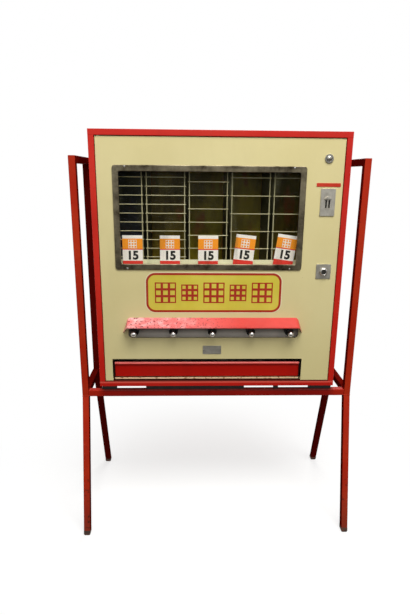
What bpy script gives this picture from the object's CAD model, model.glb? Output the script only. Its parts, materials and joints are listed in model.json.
# %% [markdown]
# # A coin-operated waffle vending machine on its tube stand
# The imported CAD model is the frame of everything: each part sits in its place, in metres, and moves with a
# body. This lesson dresses it. Pressed sheet and square tube are copied and get the small round edges that
# folding and welding leave. Knobs, springs, cards and the sign are modelled from scratch.

import json
import math
from functools import partial

import bmesh
import bpy
from mathutils import Matrix, Vector

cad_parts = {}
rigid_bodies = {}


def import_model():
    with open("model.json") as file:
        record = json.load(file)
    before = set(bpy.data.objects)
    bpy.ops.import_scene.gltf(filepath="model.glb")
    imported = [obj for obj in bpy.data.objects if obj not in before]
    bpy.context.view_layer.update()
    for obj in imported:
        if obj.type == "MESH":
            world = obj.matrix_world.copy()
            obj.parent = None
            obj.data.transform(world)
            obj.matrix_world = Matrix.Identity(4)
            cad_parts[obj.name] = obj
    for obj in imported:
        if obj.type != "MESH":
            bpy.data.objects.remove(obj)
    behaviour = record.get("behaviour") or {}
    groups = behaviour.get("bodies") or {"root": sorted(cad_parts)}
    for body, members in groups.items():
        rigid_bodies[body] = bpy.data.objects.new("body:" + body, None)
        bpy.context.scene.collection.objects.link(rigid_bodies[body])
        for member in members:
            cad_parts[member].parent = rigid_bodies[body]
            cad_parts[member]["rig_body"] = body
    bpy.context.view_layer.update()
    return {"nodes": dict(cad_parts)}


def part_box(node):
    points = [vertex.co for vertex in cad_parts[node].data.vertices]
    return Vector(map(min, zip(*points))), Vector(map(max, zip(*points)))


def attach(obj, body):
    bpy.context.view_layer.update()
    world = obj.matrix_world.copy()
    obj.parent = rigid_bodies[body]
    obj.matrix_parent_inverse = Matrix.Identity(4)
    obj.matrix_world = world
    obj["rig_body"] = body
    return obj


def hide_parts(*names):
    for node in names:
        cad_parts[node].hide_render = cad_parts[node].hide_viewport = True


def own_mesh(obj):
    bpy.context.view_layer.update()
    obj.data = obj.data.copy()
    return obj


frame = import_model()

# %% [markdown]
# ## A ruler for the cabinet
# The drawing measures from the cabinet: sideways from its middle, back from its front rim, up from its
# floor. One function turns such millimetres into a place in the scene. It takes rim and floor from the CAD
# parts, so the two can't drift apart.

# %% Cabinet ruler
MM = 0.001
rim_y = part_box("top_panel")[0].y
floor_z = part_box("bottom_panel")[0].z


def spot(x, y, z):
    """The scene place of a cabinet place in millimetres."""
    return Vector((x * MM, rim_y + y * MM, floor_z + z * MM))


print("front rim at y", round(rim_y, 4), "cabinet floor at z", round(floor_z, 4))

# %% [markdown]
# ## The camera
# The photographer stood a metre and a half away, a little left of the middle, and tipped the camera down.
# Place, angles and focal length were found by matching corners with the picture. Blender's sensor width
# belongs to the image's long side, so the focal length in pixels is divided by that side.

# %% Camera
FOCAL_PIXELS = 485.73
LONG_SIDE_PIXELS = 615
CAMERA_PLACE = (-0.0840, -1.4962, 1.0849)
YAW, TILT, ROLL = -0.03152, 0.26571, 0.00941
scene = bpy.context.scene


def in_scene(name, data):
    """Makes an object of some data and puts it in the scene."""
    thing = bpy.data.objects.new(name, data)
    scene.collection.objects.link(thing)
    return thing


lens = bpy.data.cameras.new("photo_camera")
lens.sensor_width = 36.0
lens.lens = FOCAL_PIXELS * lens.sensor_width / LONG_SIDE_PIXELS
camera = in_scene("photo_camera", lens)
camera.matrix_world = (
    Matrix.Translation(CAMERA_PLACE)
    @ Matrix.Rotation(YAW, 4, "Z")
    @ Matrix.Rotation(math.pi / 2 - TILT, 4, "X")
    @ Matrix.Rotation(ROLL, 4, "Z")
)
scene.camera = camera
print("lens", round(lens.lens, 2), "mm")

# %% [markdown]
# ## Helpers for materials
# Colours are picked as sRGB hex values, as a paint card shows them, but shaders count in linear light, so
# one function does that sum. Another adds any node with its settings and links, so that a material reads
# like a list of what it is made of. A link may name a whole node, which means its first output in use, and
# a link without a socket goes to the first one. Every mix here is one of colours.

# %% Colour and node helpers
# The two colours of a Mix node
UNDER, OVER = 6, 7


def srgb(code):
    """Linear RGBA of an sRGB hex value."""
    shares = [int(code[i : i + 2], 16) / 255 for i in (1, 3, 5)]
    linear = [s / 12.92 if s <= 0.04045 else ((s + 0.055) / 1.055) ** 2.4 for s in shares]
    return (*linear, 1.0)


def plug_in(node, links):
    """Plugs outputs, or nodes, into a node's sockets, and a single one into the first socket."""
    for socket, source in (links if isinstance(links, dict) else {0: links}).items():
        if isinstance(source, bpy.types.Node):
            source = next(output for output in source.outputs if output.enabled)
        node.id_data.links.new(source, node.inputs[socket])


def add_node(tree, kind, values=None, links=None, **settings):
    """Adds a shader node, sets its properties and sockets, and plugs others into it."""
    node = tree.nodes.new("ShaderNode" + kind)
    if kind == "Mix":
        node.data_type = "RGBA"
    for name, value in settings.items():
        setattr(node, name, value)
    for socket, value in (values or {}).items():
        node.inputs[socket].default_value = value
    if links is not None:
        plug_in(node, links)
    return node


def new_material(name, values):
    """A material, the function that adds its nodes, its shader and its Object coordinates."""
    material = bpy.data.materials.new(name)
    material.use_nodes = True
    add = partial(add_node, material.node_tree)
    shader = material.node_tree.nodes["Principled BSDF"]
    for socket, value in values.items():
        shader.inputs[socket].default_value = value
    return material, add, shader, add("TexCoord").outputs["Object"]


print("mid grey in linear light:", round(srgb("#808080")[0], 3))

# %% [markdown]
# ## The floor
# A studio sweep is a pale floor that fades into a white wall. A large disc does for it, because the camera
# never sees its edge. It is marked as stage, so it is no part of the machine.

# %% Floor
scene.view_settings.view_transform = "Standard"
shape = bmesh.new()
bmesh.ops.create_circle(shape, cap_ends=True, segments=96, radius=9.0)
floor_mesh = bpy.data.meshes.new("studio_floor")
shape.to_mesh(floor_mesh)
shape.free()
floor = in_scene("studio_floor", floor_mesh)
print("floor of", len(floor_mesh.polygons), "face")

# %% [markdown]
# ## Floor paint
# The camera sees a matt white floor that takes the shadow near the machine and turns to plain white further
# out, where a glow takes over. For bounced light the floor is dark, or it would fill the shade under the
# cabinet. Polished parts see it white only behind the machine.

# %% Floor paint
# Matt emulsion: no shine at all, only shadow
no_shine = {"Roughness": 1.0, "Specular IOR Level": 0.0}
floor_paint, add, shader, ground = new_material("matt_white_floor", no_shine)
rays = add("LightPath").outputs
clear = add("Math", links={0: rays["Is Camera Ray"], 1: rays["Is Transmission Ray"]}, operation="MAXIMUM")
axes = add("SeparateXYZ", links=ground)
behind = add("MapRange", {"From Min": -0.6, "From Max": 0.2}, axes.outputs["Y"])
mirrored = add("Math", links={0: rays["Is Glossy Ray"], 1: behind}, operation="MULTIPLY")
seen = add("Math", links={0: clear, 1: mirrored}, operation="MAXIMUM")
tint = add("Mix", {UNDER: srgb("#3C3A39"), OVER: srgb("#FFFFFF")}, seen)
plug_in(shader, {"Base Color": tint})
reach = add("VectorMath", links=ground, operation="LENGTH")
far = add("MapRange", {"From Min": 0.2, "From Max": 0.9, "To Min": 0.5}, reach,
          interpolation_type="SMOOTHSTEP")
white_far = add("Math", links={0: far, 1: seen}, operation="MULTIPLY")
glow = add("Emission", {"Color": (1, 1, 1, 1), "Strength": 1.0})
blend = add("MixShader", links={0: white_far, 1: shader, 2: glow})
plug_in(floor_paint.node_tree.nodes["Material Output"], {"Surface": blend})
floor_mesh.materials.append(floor_paint)
print("floor:", floor_paint.name)

# %% [markdown]
# ## The world
# The world is a soft light, strongest from the front and above. The camera sees it white. Polished parts
# see a white wall, a bright ceiling and a dim room in front, because a ball in an all-white room would lose
# its shape.

# %% World
world = bpy.data.worlds.new("studio_white")
scene.world = world
world.use_nodes = True
add = partial(add_node, world.node_tree)
room = world.node_tree.nodes["Background"]
LAMP_TINT = (1.0, 0.985, 0.96)
room.inputs["Color"].default_value = (*LAMP_TINT, 1.0)
paper = add("Background", {"Color": (1, 1, 1, 1), "Strength": 1.0})
rays = add("LightPath").outputs
clear = add("Math", links={0: rays["Is Camera Ray"], 1: rays["Is Transmission Ray"]}, operation="MAXIMUM")
sky = add("TexCoord").outputs["Generated"]
facing = add("VectorMath", {1: (0.0, -0.78, 0.63)}, sky, operation="DOT_PRODUCT")
soft = add("MapRange", {"From Min": -0.3, "To Min": 0.06, "To Max": 0.80}, facing)
plug_in(room, {"Strength": soft})
heading = add("SeparateXYZ", links=sky)
wall = add("MapRange", {"From Min": -0.35, "From Max": 0.15}, heading.outputs["Y"])
ceiling = add("MapRange", {"From Min": 0.45, "From Max": 0.9, "To Max": 0.8}, heading.outputs["Z"])
bright = add("Math", links={0: wall, 1: ceiling}, operation="MAXIMUM")
mirror_strength = add("MapRange", {"To Min": 0.58, "To Max": 1.0}, bright)
mirror_room = add("Background", {"Color": (1, 1, 1, 1)}, {"Strength": mirror_strength})
for_mirrors = add("MixShader", links={0: rays["Is Glossy Ray"], 1: room, 2: mirror_room})
for_eyes = add("MixShader", links={0: clear, 1: for_mirrors, 2: paper})
plug_in(world.node_tree.nodes["World Output"], {"Surface": for_eyes})
print("world:", world.name)

# %% [markdown]
# ## Lamps
# The main light is like a flash bounced off a ceiling: a soft panel, so steep that the cabinet keeps the
# rear legs in its shade. A second panel keeps the back readable from behind.

# %% Lamps


def panel(name, place, aim, width, height, watts):
    """A rectangular soft light that looks at a point."""
    lamp = bpy.data.lights.new(name, "AREA")
    lamp.shape = "RECTANGLE"
    lamp.size, lamp.size_y, lamp.energy = width, height, watts
    lamp.color = LAMP_TINT
    holder = in_scene(name, lamp)
    turn = (Vector(aim) - Vector(place)).to_track_quat("-Z", "Y")
    holder.matrix_world = Matrix.Translation(place) @ turn.to_matrix().to_4x4()
    holder.visible_camera = False


panel("ceiling_panel", (0.35, -1.35, 3.0), (0.0, -0.1, 0.85), 1.8, 1.2, 70.0)
panel("rear_panel", (0.5, 2.4, 2.2), (0.0, 0.0, 0.6), 1.6, 1.2, 40.0)
print("lamps:", len(bpy.data.lights))

# %% [markdown]
# ## Sprayed and stoved enamel
# Cabinet, door, flap and stand are painted steel. Stoved enamel is a smooth hard gloss with a slight orange
# peel; with age it fades in patches, gathers scratches and chips along its edges. One function mixes it
# from a body, a faded and a chip colour. The chips follow an attribute that the edge rounding writes later,
# so wear sits on corners.

# %% Enamel


def enamel(name, body, faded, chip, rough=0.32, patch_mm=260, wear=0.5, specks=0.0, gloss=0.35, grime=0.08):
    """Painted steel with faded patches, grime, fine scratches, edge chips and an orange peel."""
    material, add, shader, place = new_material(name, {"Specular IOR Level": gloss})
    patches = add("TexNoise", {"Scale": 1000 / patch_mm, "Detail": 5.0, "Roughness": 0.6}, place)
    fade = add("MapRange", {"From Min": 0.35, "From Max": 0.68}, patches)
    paint = add("Mix", {UNDER: srgb(body), OVER: srgb(faded)}, fade)
    # Grime lies in clouds about 120 mm wide that are drawn out downwards
    drip = add("Mapping", {"Scale": (8.0, 8.0, 3.5)}, place)
    runs = add("TexNoise", {"Scale": 1.0, "Detail": 7.0, "Roughness": 0.6, "Distortion": 0.8}, drip)
    dirt = add("MapRange", {"From Min": 0.42, "From Max": 0.80, "To Max": 3 * grime}, runs)
    soiled = add("Mix", {OVER: srgb(chip)}, {0: dirt, UNDER: paint})
    # Hair scratches run mostly up and down, about 60 mm long and 2 mm apart at their closest
    run = add("Mapping", {"Scale": (260.0, 260.0, 14.0), "Rotation": (0.2, 0.12, 0.0)}, place)
    hairs = add("TexNoise", {"Scale": 1.0, "Detail": 2.0}, run)
    scratch = add("MapRange", {"From Min": 0.70, "From Max": 0.76, "To Max": 0.35}, hairs)
    scuffed = add("Mix", {OVER: srgb(faded)}, {0: scratch, UNDER: soiled})
    # Chips of 5 to 15 mm along the rounded edges, and a few small specks on the flats
    flakes = add("TexNoise", {"Scale": 95.0, "Detail": 3.0, "Roughness": 0.7}, place)
    loose = add("MapRange", {"From Min": 0.70 - 0.2 * wear, "From Max": 0.76 - 0.2 * wear}, flakes)
    edge = add("Attribute", attribute_name="edge_wear")
    edge_chips = add("Math", links={0: loose, 1: edge.outputs["Fac"]}, operation="MULTIPLY")
    dots = add("TexNoise", {"Scale": 210.0, "Detail": 1.0}, place)
    speck = add("MapRange", {"From Min": 0.80 - 0.1 * specks, "From Max": 0.83 - 0.1 * specks}, dots)
    bare = add("Math", links={0: edge_chips, 1: speck}, operation="MAXIMUM")
    colour = add("Mix", {OVER: srgb(chip)}, {0: bare, UNDER: scuffed})
    dull = add("MapRange", {"To Min": rough, "To Max": rough + 0.16}, patches)
    matt = add("Math", {1: 0.3}, {0: bare, 2: dull}, operation="MULTIPLY_ADD")
    # Orange peel is about 2 mm across and would vanish in the picture, so it is drawn at 6 mm
    peel = add("TexNoise", {"Scale": 1000 / 6, "Detail": 1.0}, place)
    sunk = add("Math", {1: -1.5}, {0: bare, 2: peel}, operation="MULTIPLY_ADD")
    bump = add("Bump", {"Strength": 0.10, "Distance": 0.0006}, {"Height": sunk})
    plug_in(shader, {"Base Color": colour, "Roughness": matt, "Normal": bump})
    return material


print("enamel helper ready")

# %% [markdown]
# ## The paints of this machine
# All paints come from that function. The reds differ by how much light, cloth and weather reached them: the
# hood is the brightest, the rear tubes are nearly maroon.

# %% Paints
# Stoved on the cabinet: an even, deep red with a soft shine
cabinet_red = enamel("cabinet_red_stoved_enamel", "#C0160A", "#CD2A1A", "#5A140C", wear=0.2)
# The back stood against a wall: duller, patchy and specked
back_red = enamel("back_red_stoved_enamel", "#AE160C", "#C03022", "#40160F", rough=0.42, patch_mm=180,
                  wear=0.3, specks=0.5, grime=0.18)
# The sill below the tray: the cabinet's red, a shade deeper
sill_red = enamel("sill_red_stoved_enamel", "#B8140A", "#C22014", "#5A140C", wear=0.2)
# Rails under the cabinet: dark red with hardly any shine
rail_red = enamel("rail_dark_red_enamel", "#800D05", "#8C150B", "#30100A", rough=0.42, patch_mm=140,
                  wear=0.3, gloss=0.15)
# Rear tubes and inner faces: near maroon and fully matt
shade_red = enamel("rear_leg_dark_red_enamel", "#640C06", "#70120A", "#2A0C08", rough=0.55, patch_mm=140,
                   wear=0.3, gloss=0.0)
# Hood: a lighter, glossy red that catches the lamp
hood_red = enamel("hood_red_stoved_enamel", "#CB3833", "#D1443F", "#5A1612", rough=0.3, wear=0.3, gloss=0.5)
# Flap: a strong dark red, smoother than the rest
flap_red = enamel("flap_dark_red_stoved_enamel", "#AE0C03", "#B41407", "#3A0A06", rough=0.26, wear=0.2)
# Stand: brushed on, so it is an uneven orange red with chips
stand_red = enamel("stand_red_brushed_enamel", "#AA2008", "#B83212", "#47180F", rough=0.42, patch_mm=140,
                   wear=0.35, specks=0.3, gloss=0.15)
# Door: a warm cream, smooth and nearly clean
door_cream = enamel("door_cream_stoved_enamel", "#D6CA92", "#DCD19C", "#8A7B52", rough=0.36, patch_mm=320,
                    wear=0.2, grime=0.03)
# Wires: dipped, so the coat is thick, soft and a little dirty
wire_cream = enamel("wire_cream_dipped_paint", "#B0AA80", "#BEB892", "#5D553C", rough=0.42, patch_mm=60)
# Card rail: a pale, greenish cream with a quiet shine
rail_green = enamel("card_rail_green_cream_enamel", "#E0DEB2", "#E8E6BE", "#6A6A48", rough=0.4, wear=0.3)
# Tray lip: a peachy cream that fingers have scuffed
tray_cream = enamel("tray_cream_enamel", "#E6C296", "#F0D2AC", "#7A6244", rough=0.35, wear=0.4)
# Bar behind the knobs: light grey and matt
bar_grey = enamel("mechanism_bar_grey_enamel", "#DAD7CE", "#E2DFD6", "#3A3936", rough=0.45, wear=0.3)
# Column sheets: satin black that gives depth behind the wires
column_dark = enamel("column_black_satin_paint", "#12100C", "#1C1912", "#4A4436", rough=0.42, wear=0.3,
                     gloss=0.2)
print("materials so far:", len(bpy.data.materials))

# %% [markdown]
# ## Where hands and weather have been
# Some places differ from the rest of their paint: the chalked left third of the hood, the rubbed edges of
# flap and sill, the rusty legs. Each is one more mix over the paint, limited by a place along one axis,
# which is simpler than a painted mask.

# %% Local wear


def paint_over(material, colour, axis, start, full, share=1.0, grain_mm=None, above=0.5, soft=0.06):
    """Lays a colour over a paint where an axis runs from start to full, in grains if a size is given."""
    add = partial(add_node, material.node_tree)
    shader = material.node_tree.nodes["Principled BSDF"]
    under = shader.inputs["Base Color"].links[0].from_socket
    place = add("TexCoord").outputs["Object"]
    axes = add("SeparateXYZ", links=place)
    cover = add("MapRange", {"From Min": start, "From Max": full, "To Max": share}, axes.outputs[axis])
    if grain_mm:
        grain = add("TexNoise", {"Scale": 1000 / grain_mm, "Detail": 3.0}, place)
        spots = add("MapRange", {"From Min": above, "From Max": above + soft}, grain)
        cover = add("Math", links={0: cover, 1: spots}, operation="MULTIPLY")
    over = add("Mix", {OVER: srgb(colour)}, {0: cover, UNDER: under})
    plug_in(shader, {"Base Color": over})


# Hood: chalked pink, pale blotches and dark pits
paint_over(hood_red, "#EE8284", "X", 0.06, -0.18, share=0.75)
paint_over(hood_red, "#F6C4C4", "X", 0.0, -0.18, share=0.8, grain_mm=22, above=0.44, soft=0.25)
paint_over(hood_red, "#6A2020", "X", 0.10, -0.08, share=0.95, grain_mm=6, above=0.585)
# Flap: the rolled top edge rubbed bright
paint_over(flap_red, "#FF7C74", "Z", floor_z + 0.0690, floor_z + 0.0715, share=0.9)
# Tray: brown flecks on the lip, dark below it and on the cheeks
paint_over(tray_cream, "#8A4A22", "Z", floor_z + 0.020, floor_z + 0.021, share=0.75, grain_mm=13, above=0.55)
paint_over(tray_cream, "#2A0E06", "Z", floor_z + 0.0216, floor_z + 0.0206)
paint_over(tray_cream, "#171310", "X", -0.3135, -0.3145)
paint_over(tray_cream, "#171310", "X", 0.2515, 0.2525)
# Stand: a brown bloom and rust chips towards the floor
paint_over(stand_red, "#5E3020", "Z", 0.16, 0.015, share=0.6)
paint_over(stand_red, "#35190F", "Z", 0.34, 0.06, share=0.85, grain_mm=9, above=0.60)
# Bar: soot below the hood
paint_over(bar_grey, "#77706A", "Z", floor_z + 0.162, floor_z + 0.176, share=0.8)
# Sill: a rubbed edge and a dirty top
paint_over(sill_red, "#F07060", "Z", floor_z + 0.0090, floor_z + 0.0120, share=0.5)
paint_over(sill_red, "#3A0A04", "Z", floor_z + 0.0150, floor_z + 0.0158, share=0.9)
# Rails: dark on top, below the cabinet, and red again at their open ends
paint_over(rail_red, "#340805", "Z", floor_z - 0.0150, floor_z - 0.0105, share=0.8)
paint_over(rail_red, "#A6200C", "X", 0.345, 0.368)
paint_over(rail_red, "#A6200C", "X", -0.345, -0.368)
print("local wear laid on")

# %% [markdown]
# ## Column backs in dark lacquer
# Behind the wires the columns end in lacquered sheets. Old lacquer is cloudy and half glossy, with warm
# blotches a hand's width across. A slow noise between three tones gives them, stretched upwards because the
# lacquer ran down as it dried.

# %% Column lacquer


def lacquer(name, deep, cloudy, warm):
    """Cloudy half-gloss lacquer in three tones."""
    material, add, shader, place = new_material(name, {"Specular IOR Level": 0.25})
    # Blotches some 60 mm wide and 140 mm high
    stretch = add("Mapping", {"Scale": (16.0, 16.0, 7.0)}, place)
    cloud = add("TexNoise", {"Scale": 1.0, "Detail": 4.0, "Roughness": 0.6}, stretch)
    glow = add("TexNoise", {"Scale": 1.3, "Detail": 3.0}, stretch)
    cloud_share = add("MapRange", {"From Min": 0.36, "From Max": 0.62}, cloud)
    base = add("Mix", {UNDER: srgb(deep), OVER: srgb(cloudy)}, cloud_share)
    warm_share = add("MapRange", {"From Min": 0.55, "From Max": 0.68}, glow)
    colour = add("Mix", {OVER: srgb(warm)}, {0: warm_share, UNDER: base})
    streak = add("MapRange", {"To Min": 0.3, "To Max": 0.5}, cloud)
    plug_in(shader, {"Base Color": colour, "Roughness": streak})
    return material


# Blue black: cold and deep, for the first column
blue_lacquer = lacquer("column_blue_black_lacquer", "#2C3244", "#404A62", "#30323C")
# Brown: a warm gleam between the rungs
brown_lacquer = lacquer("column_brown_lacquer", "#54440A", "#8C7618", "#A05A20")
# Olive: the lightest, with a yellow cast
olive_lacquer = lacquer("column_olive_lacquer", "#6E5F06", "#A0901A", "#96641A")
COLUMN_LACQUERS = (blue_lacquer, brown_lacquer, olive_lacquer, olive_lacquer, brown_lacquer)
print("lacquers for", len(COLUMN_LACQUERS), "columns")

# %% [markdown]
# ## Plated and polished metal
# Trim, plates, knobs, bolts and springs are bare metal. Metal tints what it mirrors, so the finishes differ
# by how rough they are and which way the polishing lines run. One function makes them all from a bright and
# a tarnished tone, a roughness and the size of the lines along each axis.

# %% Metals


def bare_metal(name, bright, tarnish, rough, cloud_mm, lines_mm, depth):
    """Metal with cloudy tarnish and polishing lines."""
    material, add, shader, place = new_material(name, {"Metallic": 1.0})
    clouds = add("TexNoise", {"Scale": 1000 / cloud_mm, "Detail": 4.0, "Roughness": 0.65}, place)
    share = add("MapRange", {"From Min": 0.38, "From Max": 0.7}, clouds)
    tone = add("Mix", {UNDER: srgb(bright), OVER: srgb(tarnish)}, share)
    along = add("Mapping", {"Scale": tuple(1000 / mm for mm in lines_mm)}, place)
    lines = add("TexNoise", {"Scale": 1.0, "Detail": 2.0}, along)
    polish = add("MapRange", {"To Min": rough * 0.75, "To Max": rough * 1.3}, lines)
    bump = add("Bump", {"Strength": depth, "Distance": 0.0003}, {"Height": lines})
    plug_in(shader, {"Base Color": tone, "Roughness": polish, "Normal": bump})
    return material


# Window trim: once polished, now clouded brown, with soft long glints
trim_metal = bare_metal("window_trim_tarnished_steel", "#9E947A", "#3E3528", 0.34, 45, (60, 4, 60), 0.25)
# Plates: a pale satin that spreads the light evenly
plate_steel = bare_metal("plates_satin_chrome", "#D8D4C8", "#B4AFA2", 0.48, 30, (30, 2, 2), 0.15)
# Knobs: worn chrome with one soft highlight
knob_chrome = bare_metal("knobs_worn_chrome", "#E2E0DC", "#BCB8B0", 0.34, 9, (4, 4, 4), 0.05)
# Fasteners: grey zinc with a faint sparkle
zinc = bare_metal("fasteners_zinc_plate", "#B9B7AE", "#86857C", 0.38, 8, (3, 3, 3), 0.2)
# Mechanism: dull plate that stays in the background
grey_steel = bare_metal("mechanism_dull_plated_steel", "#77746E", "#4B4944", 0.42, 35, (3, 3, 30), 0.2)
# Springs: oiled wire with a thin bright line on each coil
spring_steel = bare_metal("springs_oiled_wire", "#8A8884", "#5C5A56", 0.3, 6, (2, 2, 2), 0.1)
print("last metal:", spring_steel.name)

# %% [markdown]
# ## Rubber and moulded black
# Foot caps and pads are rubber gone brown and dusty; the knob collars are resin with a satin skin. Both
# come out of a mould, so they share one function: dust over a body colour, and the fine grain of the
# mould's wall.

# %% Rubber and resin


def moulded(name, body, worn, rough, grain_mm):
    """Rubber or resin with a dusty cloud and a fine moulded grain."""
    material, add, shader, place = new_material(name, {"Roughness": rough})
    # Dust lies in clouds some 17 mm wide
    dust = add("TexNoise", {"Scale": 60.0, "Detail": 4.0}, place)
    share = add("MapRange", {"From Min": 0.4, "From Max": 0.7}, dust)
    tone = add("Mix", {UNDER: srgb(body), OVER: srgb(worn)}, share)
    grain = add("TexNoise", {"Scale": 1000 / grain_mm, "Detail": 2.0}, place)
    bump = add("Bump", {"Strength": 0.2, "Distance": 0.0004}, {"Height": grain})
    plug_in(shader, {"Base Color": tone, "Normal": bump})
    return material


# Feet: brown with dust, no shine
foot_rubber = moulded("feet_old_black_rubber", "#3A2A20", "#6A3A26", 0.8, 3.0)
# Pads: nearly black, a dark gap to the eye
pad_rubber = moulded("pads_black_rubber", "#0C0908", "#1C1512", 0.7, 3.0)
# Collars: black with a satin gleam round the knobs
collar_black = moulded("collars_black_resin", "#100E0C", "#1E1B18", 0.35, 4.0)
print("moulded:", collar_black.name)

# %% [markdown]
# ## Window glass
# The window is 4 mm plate glass. Real refraction would keep the lamp out of the cabinet in a path tracer,
# so the glass is a thin clear skin with a low gloss. A film of dust and the pale marks of old wiping make
# it read as glass.

# %% Glass
# Plate glass: clear, with a film that shows only where the light strikes it
skin = {"Base Color": srgb("#5C5A3A"), "Specular IOR Level": 0.5}
pane_glass, add, shader, place = new_material("window_plate_glass", skin)
# The film's clouds are some 110 mm wide
film = add("TexNoise", {"Scale": 9.0, "Detail": 6.0, "Roughness": 0.65}, place)
haze = add("MapRange", {"To Min": 0.02, "To Max": 0.10}, film)
dust = add("MapRange", {"From Min": 0.42, "From Max": 0.75, "To Min": 0.01, "To Max": 0.06}, film)
# Wipe marks are some 40 mm wide and 200 mm long, a little off upright
wipe = add("Mapping", {"Scale": (25.0, 25.0, 5.0), "Rotation": (0.0, 0.25, 0.0)}, place)
marks = add("TexNoise", {"Scale": 1.0, "Detail": 5.0, "Distortion": 0.4}, wipe)
pale = add("MapRange", {"From Min": 0.58, "From Max": 0.72, "To Max": 0.16}, marks)
cover = add("Math", links={0: dust, 1: pale}, operation="ADD")
plug_in(shader, {"Roughness": haze, "Alpha": cover})
print("glass:", pane_glass.name)

# %% [markdown]
# ## Turning a bmesh into a piece
# Every piece ends the same way: faces of no size go, it is shaded smooth except across real corners, gets
# its finish, and rides on a body. Weighted normals keep big faces flat next to their thin round edges, as
# on folded sheet.

# %% Piece helper
CORNER = math.radians(38)
SAME_POINT = 1e-6


def keep_piece(shape, name, body, finish, nodes=()):
    """Makes a finished object of a bmesh and hangs it on its body."""
    bmesh.ops.dissolve_degenerate(shape, dist=SAME_POINT, edges=shape.edges)
    for face in shape.faces:
        face.smooth = True
    for edge in shape.edges:
        edge.smooth = len(edge.link_faces) == 2 and edge.calc_face_angle() < CORNER
    mesh = bpy.data.meshes.new(name)
    shape.to_mesh(mesh)
    shape.free()
    mesh.materials.append(finish)
    piece = in_scene(name, mesh)
    flat = piece.modifiers.new("flat_faces", "WEIGHTED_NORMAL")
    flat.keep_sharp = True
    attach(piece, body)
    if nodes:
        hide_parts(*nodes)
    return piece


print("crisp corners from", round(math.degrees(CORNER)), "degrees")

# %% [markdown]
# ## Rounding the edges of sheet and tube
# No folded sheet or drawn tube has a knife edge. The CAD solids do, which keeps them exact, so each is
# copied, its loose triangles are merged into whole faces, and its outer edges are bevelled. A bevel
# modifier could do it too, but the operator hands back its new faces, and these are marked for the paint's
# edge wear. Short edges, where parts are welded, are left out, so that no groove opens there.

# %% Edge rounding
FLAT = math.radians(0.4)


def merge_points(shape):
    """Makes one of points that lie on top of each other."""
    bmesh.ops.remove_doubles(shape, verts=shape.verts, dist=SAME_POINT)


def merged_copy(node):
    """A CAD part as a bmesh of whole faces."""
    shape = bmesh.new()
    shape.from_mesh(frame["nodes"][node].data)
    merge_points(shape)
    bmesh.ops.dissolve_limit(shape, angle_limit=FLAT, verts=shape.verts, edges=shape.edges)
    return shape


def outer_edges(shape, sharp_deg, shortest_mm=0.0):
    """Edges that stick out by more than an angle and are longer than a length."""
    sharp = math.radians(sharp_deg)
    return [edge for edge in shape.edges if len(edge.link_faces) == 2
            and edge.calc_face_angle_signed() > sharp and edge.calc_length() > shortest_mm * MM]


def round_edges(shape, edges, width_mm, segments, clamp=False):
    """Bevels edges to a round of a width and returns the faces that it made."""
    made = bmesh.ops.bevel(shape, geom=edges, offset=width_mm * MM, offset_type="OFFSET", affect="EDGES",
                           segments=segments, profile=0.5, material=-1, clamp_overlap=clamp)
    return made["faces"]


def stand_in(shape, node, finish):
    """Puts a changed copy in a CAD part's place."""
    return keep_piece(shape, "round_" + node, frame["nodes"][node]["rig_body"], finish, [node])


def rounded_copy(node, width_mm, finish, slot, shortest_mm=0.0, segments=2):
    """A CAD part with rounded outer edges."""
    shape = merged_copy(node)
    wear = shape.faces.layers.float.new("edge_wear")
    for face in round_edges(shape, outer_edges(shape, 30, shortest_mm), width_mm, segments, clamp=True):
        face[wear] = 1.0
    return stand_in(shape, node, finish)


print("CAD parts:", len(frame["nodes"]))

# %% [markdown]
# ## The stand
# The stand is 20 mm square tube, mitred, welded and brush painted. Drawn tube has a corner radius of about
# 2 mm. Only long edges are rounded; the mitres stay closed. No cloth reached the rails, the rear tubes and
# the faces that look at the cabinet, so their paint is darker.

# %% Stand tubes
TUBES = {"front_uprights": stand_red, "rear_uprights": shade_red, "top_bars": stand_red,
         "side_rails": shade_red, "cross_rails": rail_red, "front_legs": stand_red, "rear_legs": shade_red}
TUBE_CORNER, LONGEST_MITRE = 2.0, 40
for node, finish in TUBES.items():
    tube = rounded_copy(node, TUBE_CORNER, finish, "stand_red", LONGEST_MITRE, segments=3)
    tube.data.materials.append(shade_red)
    for face in tube.data.polygons:
        looks_in = face.normal.x * face.center.x < -0.6 * abs(face.center.x)
        if looks_in:
            face.material_index = 1
rounded_copy("foot_caps", 0.8, foot_rubber, "foot_rubber", segments=3)
rounded_copy("cabinet_pads", 0.8, pad_rubber, "foot_rubber")
rounded_copy("cabinet_bolts", 0.5, zinc, "zinc_steel")
print("stand pieces:", len(TUBES) + 3)

# %% [markdown]
# ## Weld beads
# Each leg is welded to its upright with a slight lean, and the bead was painted over, not ground flat. A
# bead is a square block, 0.7 mm wider than the tube all round, rounded so far that a soft band stands out.
# It lies in the plane that halves the bend, so it tips by half of the lean.

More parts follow.
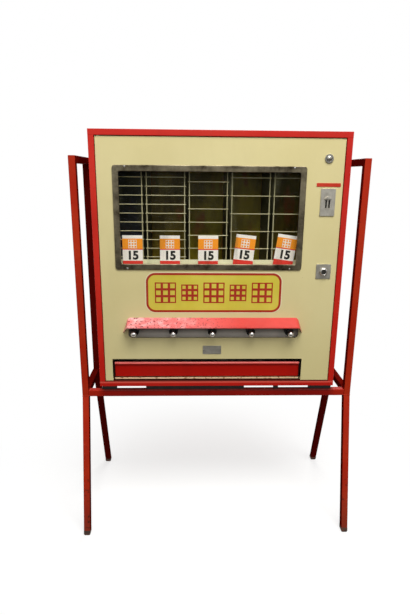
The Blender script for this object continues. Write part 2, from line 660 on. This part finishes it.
# %% Weld beads
HALF_TUBE, HALF_FOOT = 10.0, 9.5
BEAD_SIDE, BEAD_HIGH, BEAD_ROUND = 21.4, 4.0, 1.9
bead_size = Matrix.Diagonal((BEAD_SIDE * MM, BEAD_SIDE * MM, BEAD_HIGH * MM, 1))
bead_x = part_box("front_uprights")[1].x - HALF_TUBE * MM
joint_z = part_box("front_legs")[1].z
for end, finish in (("front", stand_red), ("rear", shade_red)):
    upright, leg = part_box(end + "_uprights"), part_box(end + "_legs")
    joint_y = (upright[0].y + upright[1].y) / 2
    foot_y = leg[0].y + HALF_FOOT * MM if end == "front" else leg[1].y - HALF_FOOT * MM
    tip = Matrix.Rotation(-math.atan2(joint_y - foot_y, joint_z) / 2, 4, "X")
    shape = bmesh.new()
    for side in (-1, 1):
        home = Matrix.Translation((side * bead_x, joint_y, joint_z)) @ tip
        bead = bmesh.ops.create_cube(shape, size=1.0, matrix=home @ bead_size)
        corners = list({edge for vert in bead["verts"] for edge in vert.link_edges})
        round_edges(shape, corners, BEAD_ROUND, 4)
    keep_piece(shape, f"weld_beads_{end}", "cabinet", finish)
print("weld beads at", round(joint_z, 4), "m")

# %% [markdown]
# ## The cabinet
# Five folded panels of 1.5 mm sheet make the box, and their turned-in rims frame the door. The folds have a
# small radius. Along the joints the edges are short, and they stay tight.

# %% Cabinet panels
PANELS = {"side_panel_left": cabinet_red, "side_panel_right": cabinet_red, "top_panel": cabinet_red,
          "back_panel": back_red, "bottom_panel": sill_red}
FOLD_ROUND, LONGEST_JOINT = 0.7, 60
for node, finish in PANELS.items():
    rounded_copy(node, FOLD_ROUND, finish, "cabinet_red", LONGEST_JOINT)
for node in ("hinge_pins", "lock_strike"):
    rounded_copy(node, 0.4, zinc, "zinc_steel")
print("cabinet panels rounded:", len(PANELS))

# %% [markdown]
# ## Inside the cabinet
# Dividers, floor, card rail, bar, collars, slides, chute and cash box are plain pressed parts, so a table
# with a rounding for each is enough. The wires are round already and only get their paint.

# %% Inner parts
# Rounding in millimetres, finish and material slot
INNER_PARTS = {
    "column_dividers": (0.5, column_dark, "column_dark"),
    "column_floor": (0.4, column_dark, "column_dark"),
    "card_rail": (0.6, rail_green, "wire_cream"),
    "mechanism_bar": (0.6, bar_grey, "grey_steel"),
    "knob_collars": (0.9, collar_black, "collar_black"),
    "delivery_chute": (0.4, grey_steel, "grey_steel"),
    "delivery_tray": (0.4, tray_cream, "door_cream"),
    "cash_box": (0.5, grey_steel, "grey_steel"),
    "flap_rod": (0.5, zinc, "zinc_steel"),
    "delivery_flap": (0.6, flap_red, "flap_red"),
}
for node, look in INNER_PARTS.items():
    rounded_copy(node, *look)
for i in range(1, 6):
    rounded_copy(f"vend_slide_{i}", 0.4, grey_steel, "grey_steel")
    frame["nodes"][f"wire_guard_{i}"].material_slots[0].material = wire_cream
print("inner parts rounded:", len(INNER_PARTS) + 5)

# %% [markdown]
# ## The door and what is fixed to it
# The door is a shallow pressed tray. On it sit the window trim, the plates of coin slot and lock, and the
# return button. The trim is a rolled section with a wide round in four steps; plates have only a broken
# edge.

# %% Door parts
DOOR_PARTS = {
    "door_panel": (0.6, door_cream, "door_cream"),
    "window_trim": (2.4, trim_metal, "window_trim"),
    "maker_plate": (0.3, plate_steel, "plate_steel"),
    "coin_plate": (0.7, plate_steel, "plate_steel"),
    "coin_mechanism": (0.4, grey_steel, "grey_steel"),
    "button_bezel": (0.7, zinc, "plate_steel"),
    "return_button": (0.5, zinc, "plate_steel"),
    "lock_plate": (0.6, plate_steel, "plate_steel"),
    "lock_plug": (0.3, grey_steel, "plate_steel"),
}
for node, look in DOOR_PARTS.items():
    rounded_copy(node, *look, segments=4 if node == "window_trim" else 2)
frame["nodes"]["window_glass"].material_slots[0].material = pane_glass
print("door parts rounded:", len(DOOR_PARTS))

# %% [markdown]
# ## The hood over the knobs
# The hood is one pressed sheet: a sloping roof that bends over into sloping ends. The bends are wide, so
# these edges are rounded first, inside and out, and then the cut edges. In between, points that fell
# together are merged, or the second bevel would get no width.

# %% Hood
HOOD_BEND, HOOD_CUT, LONGEST_CUT = 8, 0.4, 25
shape = merged_copy("knob_hood")


def is_ridge(edge):
    """True between a roof face and an end face, on either side of the sheet."""
    if len(edge.link_faces) != 2 or edge.calc_length() < LONGEST_CUT * MM:
        return False
    roof, end = sorted(edge.link_faces, key=lambda face: abs(face.normal.x))
    return roof.normal.y * roof.normal.z < -0.2 and abs(end.normal.x) > 0.7


ridges = [edge for edge in shape.edges if is_ridge(edge)]
print("hood ridges rounded:", len(ridges))
round_edges(shape, ridges, HOOD_BEND, 6)
merge_points(shape)
round_edges(shape, outer_edges(shape, 50), HOOD_CUT, 2, clamp=True)
stand_in(shape, "knob_hood", hood_red)

# %% [markdown]
# ## Ball knobs
# Each knob is a chromed ball on a turned neck and rod. A lathe part is what spin is for: a few profile
# points, turned once round the axis and merged. The ball itself starts as a sphere.

# %% Knobs
KNOB_X = (-250, -134, -18, 98, 214)
KNOB_Z = 175
BALL_R, BALL_Y = 8.5, -22
STAND_UP = Matrix.Rotation(math.pi / 2, 4, "X")
# Radius and distance behind the rim of the neck, the rod and the spring's seat
ROD_PROFILE = [(0.0, -16.0), (4.4, -15.2), (5.5, -12.6), (5.5, -10.1), (4.9, -9.5), (4.0, -9.4), (4.0, 76.5),
               (7.1, 76.5), (7.5, 76.9), (7.5, 77.6), (7.1, 78.0), (4.0, 78.0), (4.0, 83.0), (3.5, 83.5),
               (0.0, 83.5)]


def turn_profile(shape, profile, x, z, steps):
    """Spins a line of radius and depth points once round an axis that points to the front."""
    points = [shape.verts.new(spot(x + radius, y, z)) for radius, y in profile]
    line = [shape.edges.new(pair) for pair in zip(points, points[1:])]
    bmesh.ops.spin(shape, geom=points + line, cent=spot(x, 0, z), axis=(0, 1, 0), angle=2 * math.pi,
                   steps=steps, use_merge=True)
    merge_points(shape)
    bmesh.ops.recalc_face_normals(shape, faces=shape.faces)


for i, x in enumerate(KNOB_X, 1):
    shape = bmesh.new()
    turn_profile(shape, ROD_PROFILE, x, KNOB_Z, 32)
    face_on = Matrix.Translation(spot(x, BALL_Y, KNOB_Z)) @ STAND_UP
    bmesh.ops.create_uvsphere(shape, u_segments=32, v_segments=20, radius=BALL_R * MM, matrix=face_on)
    knob = keep_piece(shape, f"ball_knob_{i}", f"knob_{i}", knob_chrome, [f"pull_knob_{i}"])
print("last knob has", len(knob.data.polygons), "faces")

# %% [markdown]
# ## Return springs
# A helix is a spin that also moves along its axis: a small circle of wire goes round eight times while each
# step shifts it a little. Pulling a knob presses its spring against the bar, so the piece is told to
# flatten towards the bar as that joint moves.

# %% Springs
COIL_R, WIRE_R, COILS, STEPS = 6.0, 0.6, 8, 24
SPRING_START, SPRING_END, KNOB_TRAVEL = 26.0, 76.5, 40
spring_long = SPRING_END - SPRING_START
rise = (spring_long - 2 * WIRE_R) * MM / (COILS * STEPS)
for i, x in enumerate(KNOB_X, 1):
    shape = bmesh.new()
    first = SPRING_START + WIRE_R
    wire = bmesh.ops.create_circle(shape, segments=8, radius=WIRE_R * MM,
                                   matrix=Matrix.Translation(spot(x + COIL_R, first, KNOB_Z)))
    ring = wire["verts"] + list({edge for vert in wire["verts"] for edge in vert.link_edges})
    bmesh.ops.spin(shape, geom=ring, cent=spot(x, first, KNOB_Z), axis=(0, 1, 0), dvec=(0, rise, 0),
                   angle=2 * math.pi * COILS, steps=COILS * STEPS)
    bmesh.ops.holes_fill(shape, edges=[edge for edge in shape.edges if edge.is_boundary])
    bmesh.ops.recalc_face_normals(shape, faces=shape.faces)
    spring = keep_piece(shape, f"coil_spring_{i}", "cabinet", spring_steel,
                        [f"return_spring_{i}"])
    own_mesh(spring)
print("each spring has", len(spring.data.polygons), "faces")

# %% [markdown]
# ## Flat shapes with round corners
# Sign, strip and column backs are flat sheets with round corners. Each starts as one face; bevelling its
# corner points rounds them, and an extrusion gives it its thickness.

# %% Rounded sheet helpers


def upright_size(x, y, z, width, height):
    """Stands a flat square of size one up at a cabinet place, looking forwards, and gives it a size."""
    return Matrix.Translation(spot(x, y, z)) @ STAND_UP @ Matrix.Diagonal((width * MM, height * MM, 1, 1))


def rounded_face(shape, x, y, z, width, height, radius):
    """One upright face with round corners in an empty bmesh, its middle at a cabinet place."""
    made = bmesh.ops.create_grid(shape, x_segments=1, y_segments=1, size=0.5,
                                 matrix=upright_size(x, y, z, width, height))
    bmesh.ops.bevel(shape, geom=made["verts"], offset=radius * MM, offset_type="OFFSET", affect="VERTICES",
                    segments=10, profile=0.5, material=-1)
    return max(shape.faces, key=lambda face: face.calc_area())


def thicken(shape, depth_mm, faces=None):
    """Pulls all or some faces out to the front, closes their sides and returns the moved points."""
    made = bmesh.ops.extrude_face_region(shape, geom=faces or shape.faces[:])
    moved = [item for item in made["geom"] if isinstance(item, bmesh.types.BMVert)]
    bmesh.ops.translate(shape, verts=moved, vec=(0, -depth_mm * MM, 0))
    bmesh.ops.recalc_face_normals(shape, faces=shape.faces)
    return moved


print("sheet helpers ready")

# %% [markdown]
# ## Column backs
# A thin lacquered sheet closes the back of each column. It stands between the dividers, just clear of the
# cabinet's back.

# %% Column backs
COLUMN_X = (-275, -154, -33, 88, 209)
BACK_Y, BACK_Z, BACK_W, BACK_H, BACK_R, BACK_T = 188.3, 440.5, 105, 497, 2, 1.0
for i, x in enumerate(COLUMN_X, 1):
    shape = bmesh.new()
    rounded_face(shape, x, BACK_Y, BACK_Z, BACK_W, BACK_H, BACK_R)
    thicken(shape, BACK_T)
    keep_piece(shape, f"column_back_{i}", "cabinet", COLUMN_LACQUERS[i - 1])
print("column backs:", len(COLUMN_X))

# %% [markdown]
# ## The sign
# The door carries a yellow panel with a red border, screen printed in thick ink. Ink is a layer you can
# just feel, so each colour is a thin sheet, 0.15 mm above the one below. The border is the rounded face
# again, with its middle inset and cut out.

# %% Sign
# Yellow ink: flat, faintly mottled
sign_yellow = enamel("sign_yellow_ink", "#D2C33E", "#D9CC52", "#A08A2C", rough=0.4, patch_mm=120, wear=0.0)
# Red ink: dense and even
sign_red = enamel("sign_red_ink", "#A62A16", "#AE3522", "#7A2A18", rough=0.4, patch_mm=60, wear=0.0)
# Pale ink: a thin light line that lifts the panel off the door
sign_pale = enamel("sign_pale_ink", "#E6DEB4", "#EAE3C0", "#B0A47A", rough=0.4, patch_mm=60, wear=0.0)
SIGN_X, SIGN_Z, SIGN_W, SIGN_H, SIGN_R, BORDER, HALO = -14.5, 295, 397, 118, 27, 6.5, 2.5
DOOR_FACE, INK = 3.0, 0.15
LAYERS = (("sign_halo", sign_pale, HALO), ("sign_ground", sign_yellow, 0), ("sign_border", sign_red, 0))
for level, (name, finish, out) in enumerate(LAYERS, 1):
    shape = bmesh.new()
    face = rounded_face(shape, SIGN_X, DOOR_FACE, SIGN_Z, SIGN_W + 2 * out, SIGN_H + 2 * out, SIGN_R + out)
    if name == "sign_border":
        bmesh.ops.inset_region(shape, faces=[face], thickness=BORDER * MM, use_even_offset=True,
                               use_boundary=True)
        bmesh.ops.delete(shape, geom=[face], context="FACES")
    thicken(shape, level * INK)
    keep_piece(shape, name, "door", finish)
print("sign layers:", len(LAYERS))

# %% [markdown]
# ## Waffles on the sign
# A row of plain waffles, large and small in turn, fills the panel. A three by three grid whose cells are
# inset and cut out is a waffle already.

# %% Sign waffles
WAFFLE_SIZES, WAFFLE_PITCH, WAFFLE_BAR = (62, 50, 62, 50, 62), 71, 3.6


def faces_at(verts):
    """All faces that touch some points."""
    return list({face for vert in verts for face in vert.link_faces})


def flat_waffle(shape, place, bar_mm):
    """A grid of three by three cells with their middles cut out."""
    made = bmesh.ops.create_grid(shape, x_segments=3, y_segments=3, size=0.5, matrix=place)
    cells = faces_at(made["verts"])
    bmesh.ops.inset_individual(shape, faces=cells, thickness=bar_mm * MM, use_even_offset=True)
    bmesh.ops.delete(shape, geom=cells, context="FACES")


shape = bmesh.new()
for k, size in enumerate(WAFFLE_SIZES):
    middle = SIGN_X + (k - 2) * WAFFLE_PITCH
    flat_waffle(shape, upright_size(middle, DOOR_FACE, SIGN_Z, size, size), WAFFLE_BAR)
thicken(shape, 3 * INK)
waffles = keep_piece(shape, "sign_waffles", "door", sign_red)
print("waffle row has", len(waffles.data.polygons), "faces")

# %% [markdown]
# ## Print on the price cards
# Each card is white board with an orange field, a red line and a red foot. The bands have hard edges, so
# the material compares the height on the card's own UV map with each band's middle.

# %% Card print
# Printed board: white gone a little yellow, half matt
half_matt = {"Roughness": 0.55, "Specular IOR Level": 0.3}
card_print, add, shader, place = new_material("price_card_printed_board", half_matt)
sheet_uv = add("UVMap", uv_map="print")
axes = add("SeparateXYZ", links=sheet_uv)
# The board yellows in spots some 22 mm wide
age = add("TexNoise", {"Scale": 45.0, "Detail": 4.0}, place)
colour = add("Mix", {UNDER: srgb("#FAF7EE"), OVER: srgb("#F1EADA")}, age)
# Ink, and the lower and upper end of its band as shares of the card's height
for ink, low, high in (("#FA9A22", 0.58, 0.90), ("#E03C2E", 0.55, 0.58), ("#E0382E", -0.10, 0.20)):
    band = add("Math", {1: (low + high) / 2, 2: (high - low) / 2}, axes.outputs["Y"], operation="COMPARE")
    colour = add("Mix", {OVER: srgb(ink)}, {0: band, UNDER: colour})
plug_in(shader, {"Base Color": colour})
# Black ink: dense, with a slight shine
card_black = moulded("price_card_black_ink", "#161514", "#1F1D1B", 0.5, 6.0)
# White ink: soft against the orange
card_white = moulded("price_card_white_ink", "#F3EEE2", "#EAE2D0", 0.5, 6.0)
print("card print:", card_print.name)

# %% [markdown]
# ## Price cards
# Five cards stand on the rail, the last two leaning. Each is cut from a small grid in its own flat frame,
# where its UV map is laid on, and then turned into place, so the print leans with it.

# %% Cards
CARD_W, CARD_H, CARD_T = 58, 92, 1.0
# Right lower corner and lean of each card, as in the CAD
CARDS = ((-222, 0), (-114, 0), (-3, 0), (98, 6), (216, 8))
CARD_Y, SHELF_Z = 23.917, 367.5
card_homes = [
    Matrix.Translation(spot(right, CARD_Y, SHELF_Z))
    @ Matrix.Rotation(math.radians(lean), 4, "Y")
    @ Matrix.Translation((-CARD_W * MM, 0, 0))
    for right, lean in CARDS
]
own_frame = (Matrix.Translation((CARD_W / 2 * MM, CARD_T * MM, CARD_H / 2 * MM)) @ STAND_UP
             @ Matrix.Diagonal((CARD_W * MM, CARD_H * MM, 1, 1)))
cards = bmesh.new()
print_uv = cards.loops.layers.uv.new("print")
for home in card_homes:
    made = bmesh.ops.create_grid(cards, x_segments=2, y_segments=3, size=0.5, matrix=own_frame)
    own = made["verts"] + thicken(cards, CARD_T, faces_at(made["verts"]))
    for face in faces_at(own):
        for loop in face.loops:
            loop[print_uv].uv = (loop.vert.co.x / (CARD_W * MM), loop.vert.co.z / (CARD_H * MM))
    bmesh.ops.transform(cards, matrix=home, verts=own)
keep_piece(cards, "printed_cards", "cabinet", card_print, ["price_cards"])
print("cards:", len(CARDS))

# %% [markdown]
# ## The number as a mesh
# The price is a plain number. A text object gives its outline; it is made a mesh and removed, because only
# the mesh is needed, five times over.

# %% Number
words = bpy.data.curves.new("card_number", "FONT")
words.body = "15"
words.align_x = "CENTER"
words.offset = 0.045
words_holder = in_scene("card_number_text", words)
bpy.context.view_layer.update()
shown = words_holder.evaluated_get(bpy.context.evaluated_depsgraph_get())
number_mesh = bpy.data.meshes.new_from_object(shown)
bpy.data.objects.remove(words_holder)
print("number outline has", len(number_mesh.vertices), "points")

# %% [markdown]
# ## Numbers and waffles on the cards
# Both are thin layers of ink in front of the board. They use each card's own place, and lean with it.

# %% Card ink
NUMBER_SIZE, NUMBER_Z, NUMBER_AHEAD, NUMBER_INK = 34, 23, 0.2, 0.05
MARK_SIZE, MARK_Z, MARK_AHEAD, MARK_INK, MARK_BAR = 24, 67, 0.1, 0.1, 1.3


def on_card(home, ahead, z, size):
    """Stands a flat shape of size one on the middle line of a card."""
    return (home @ Matrix.Translation((CARD_W / 2 * MM, -ahead * MM, z * MM)) @ STAND_UP
            @ Matrix.Scale(size * MM, 4))


numbers, marks = bmesh.new(), bmesh.new()
for home in card_homes:
    before = len(numbers.verts)
    numbers.from_mesh(number_mesh)
    numbers.verts.ensure_lookup_table()
    bmesh.ops.transform(numbers, verts=numbers.verts[before:],
                        matrix=on_card(home, NUMBER_AHEAD, NUMBER_Z, NUMBER_SIZE))
    flat_waffle(marks, on_card(home, MARK_AHEAD, MARK_Z, MARK_SIZE), MARK_BAR)
thicken(numbers, NUMBER_INK)
keep_piece(numbers, "card_numbers", "cabinet", card_black)
thicken(marks, MARK_INK)
keep_piece(marks, "card_waffles", "cabinet", card_white)
print("ink on", len(card_homes), "cards")

# %% [markdown]
# ## The red strip
# A strip of red plastic is stuck above the coin plate: a thin rounded sheet whose front edge is softened,
# which gives it the bright line of moulded plastic.

# %% Red strip
# Moulded plastic: an even red with a low shine
strip_red = enamel("strip_red_plastic", "#C02E18", "#C63A24", "#8A2414", rough=0.35, patch_mm=40, wear=0.0)
STRIP_X, STRIP_Z, STRIP_W, STRIP_H, STRIP_R, STRIP_T = 302, 605, 68, 10, 1.5, 1.2
shape = bmesh.new()
rounded_face(shape, STRIP_X, DOOR_FACE, STRIP_Z, STRIP_W, STRIP_H, STRIP_R)
thicken(shape, STRIP_T)
half_way = spot(0, DOOR_FACE - 1, 0).y
front_rim = [edge for edge in shape.edges if all(vert.co.y < half_way for vert in edge.verts)]
round_edges(shape, front_rim, 0.4, 2)
keep_piece(shape, "red_strip", "door", strip_red)
print("red strip on the door")

# %% [markdown]
# ## Rivets
# Small domed rivets hold the trim and the maker's plate. A flattened ball, half sunk in the sheet, is all
# that such a small head shows.

# %% Rivets


def domed_head(shape, home, radius, rise, rings=8):
    """Adds a flattened ball and returns its points."""
    size = Matrix.Diagonal((radius * MM, rise * MM, radius * MM, 1))
    return bmesh.ops.create_uvsphere(shape, u_segments=rings + 6, v_segments=rings, radius=1.0,
                                     matrix=home @ size)["verts"]


trim_places = [(x, 0, z) for z in (649.6, 367.4) for x in (-264, 204)]
plate_places = [(-42, 2, 117.5), (6, 2, 117.5)]
for name, finish, slot, places, radius, rise in (
    ("trim_rivets", knob_chrome, "window_trim", trim_places, 2.4, 1.2),
    ("plate_rivets", zinc, "plate_steel", plate_places, 1.8, 0.9),
):
    shape = bmesh.new()
    for place in places:
        domed_head(shape, Matrix.Translation(spot(*place)), radius, rise)
    keep_piece(shape, name, "door", finish)
print("rivets:", len(trim_places + plate_places))

# %% [markdown]
# ## Screws in the back
# Raised screws hold the back panel. Each head is a flattened ball with a slot pressed across it, and every
# slot is turned differently, as a hand driver leaves them.

# %% Back screws
back_y = (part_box("back_panel")[1].y - rim_y) / MM
PANEL_HALF, PANEL_HIGH, SCREW_IN = 358.5, 743, 12
SCREW_R, SCREW_RISE, SLOT_HALF, SLOT_DEEP = 4.2, 1.8, 0.7, 0.7
edge_x = PANEL_HALF - SCREW_IN
screws = [(x, z) for z in (SCREW_IN, PANEL_HIGH - SCREW_IN) for x in (-330, -165, 0, 165, 330)]
screws += [(x, z) for x in (-edge_x, edge_x) for z in (190, 371, 552)]
shape = bmesh.new()
for k, (x, z) in enumerate(screws):
    middle = spot(x, back_y, z)
    turn = Matrix.Rotation(0.7 * k, 4, "Y")
    across = turn.to_3x3() @ Vector((1, 0, 0))
    for vert in domed_head(shape, Matrix.Translation(middle) @ turn, SCREW_R, SCREW_RISE, rings=10):
        out = vert.co - middle
        if out.y > 0.3 * MM and abs(out.dot(across)) < SLOT_HALF * MM:
            vert.co.y -= SLOT_DEEP * MM
keep_piece(shape, "back_screws", "cabinet", zinc)
print("back screws:", len(screws))

# %% [markdown]
# ## The lock's ring
# The lock is a turned ring with a domed front round a darker plug. Its profile runs over the dome, down the
# bore and back along the barrel, and ends where it began, so the spin closes it.

# %% Lock ring
LOCK_X, LOCK_Z = 304, 360
RING_PROFILE = [(11.5, 1.0), (11.5, -3.2), (11.1, -4.6), (10.2, -5.8), (9.0, -6.6), (7.9, -7.0), (7.4, -6.7),
                (7.05, -5.9), (7.05, 18.0), (9.5, 18.0), (9.5, 1.0), (11.5, 1.0)]
shape = bmesh.new()
turn_profile(shape, RING_PROFILE, LOCK_X, LOCK_Z, 48)
keep_piece(shape, "lock_ring", "door", knob_chrome, ["lock_barrel"])
print("lock ring turned from", len(RING_PROFILE), "points")
